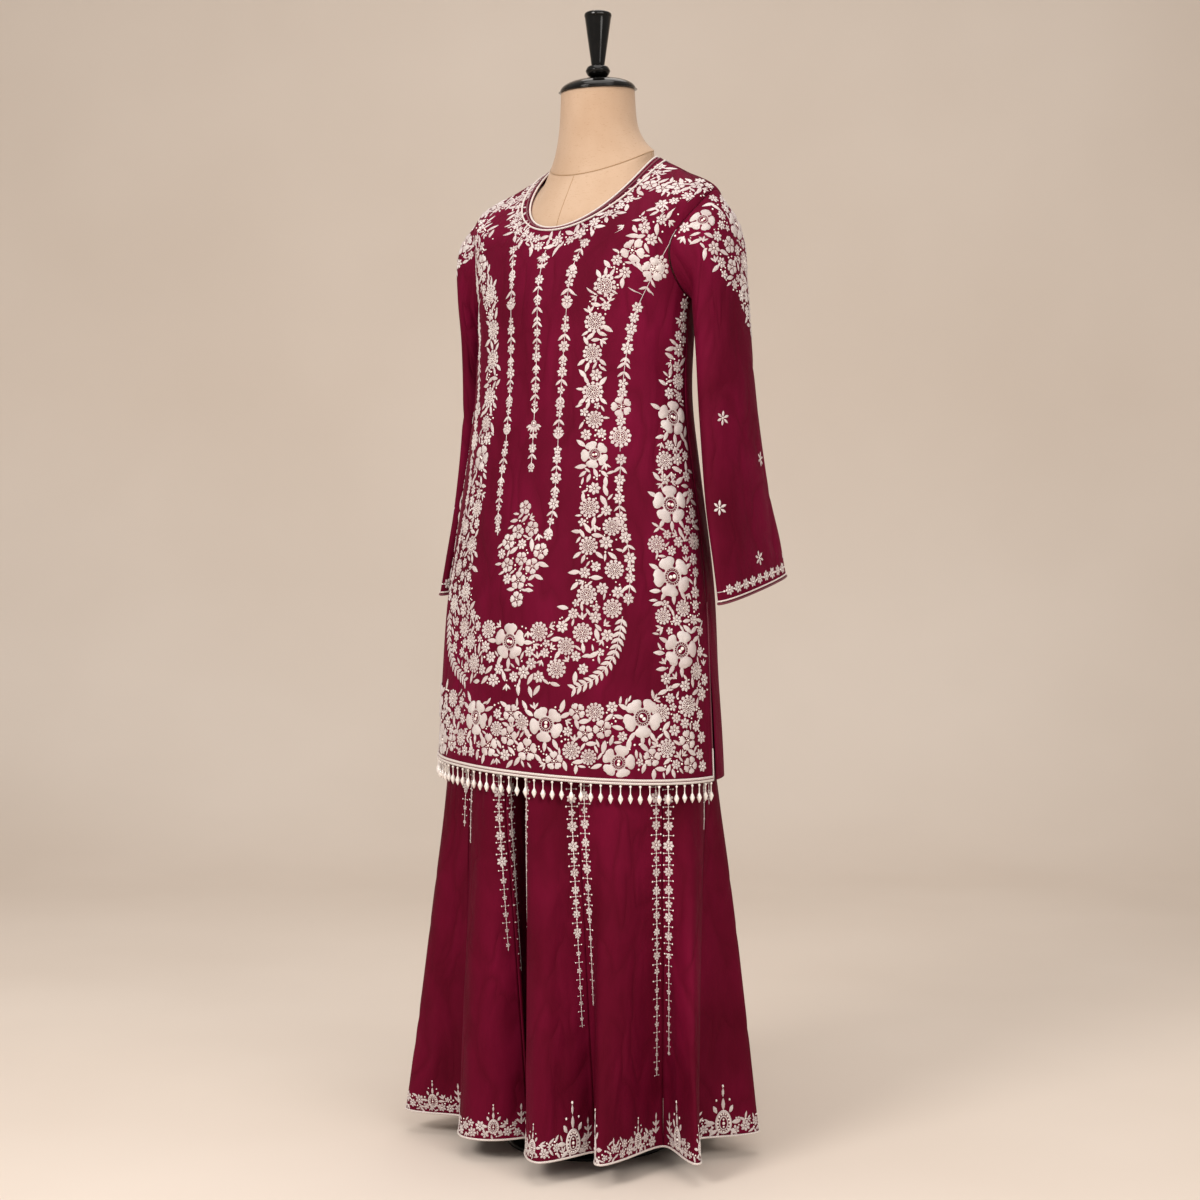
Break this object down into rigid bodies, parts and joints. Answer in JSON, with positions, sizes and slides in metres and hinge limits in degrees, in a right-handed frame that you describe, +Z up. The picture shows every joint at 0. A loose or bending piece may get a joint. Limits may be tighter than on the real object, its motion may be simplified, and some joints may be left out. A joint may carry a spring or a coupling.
{
  "type": "salwar kameez suit on a dress form",
  "caption": "Embroidered kameez with flared sleeves over a flared sharara, worn by a limbless tailor's form on a pole and a round base.",
  "frame": {"origin": "on the floor, under the middle of the whole object", "axes": "+Z up along the pole; the front faces -Y and +X is the wearer's left"},
  "size_m": [0.5226, 0.403, 1.604],
  "materials": {
    "georgette": "maroon crepe georgette with ivory thread and bead embroidery",
    "piping": "ivory silk corded piping",
    "beads": "pearl beads",
    "form_cloth": "natural cotton cover, tightly stretched",
    "black_lacquer": "glossy black lacquered wood",
    "black_metal": "satin black powder coat"
  },
  "bodies": {
    "root": {"kameez_front": "georgette", "kameez_back": "georgette", "sleeve_left": "georgette", "sleeve_right": "georgette", "gore_left_1": "georgette", "gore_left_2": "georgette", "gore_left_3": "georgette", "gore_left_4": "georgette", "gore_left_5": "georgette", "gore_left_6": "georgette", "gore_right_1": "georgette", "gore_right_2": "georgette", "gore_right_3": "georgette", "gore_right_4": "georgette", "gore_right_5": "georgette", "gore_right_6": "georgette", "yoke_front": "georgette", "yoke_back": "georgette", "waistband": "georgette", "neck_piping": "piping", "front_hem_piping": "piping", "slit_piping_left": "piping", "slit_piping_right": "piping", "cuff_piping_left": "piping", "cuff_piping_right": "piping", "leg_piping_left": "piping", "leg_piping_right": "piping", "drop_fringe": "beads", "form_torso": "form_cloth", "form_neck": "form_cloth", "neck_cap": "black_lacquer", "cap_handle": "black_lacquer", "stand_pole": "black_metal", "stand_base": "black_metal"}
  },
  "joints": []
}
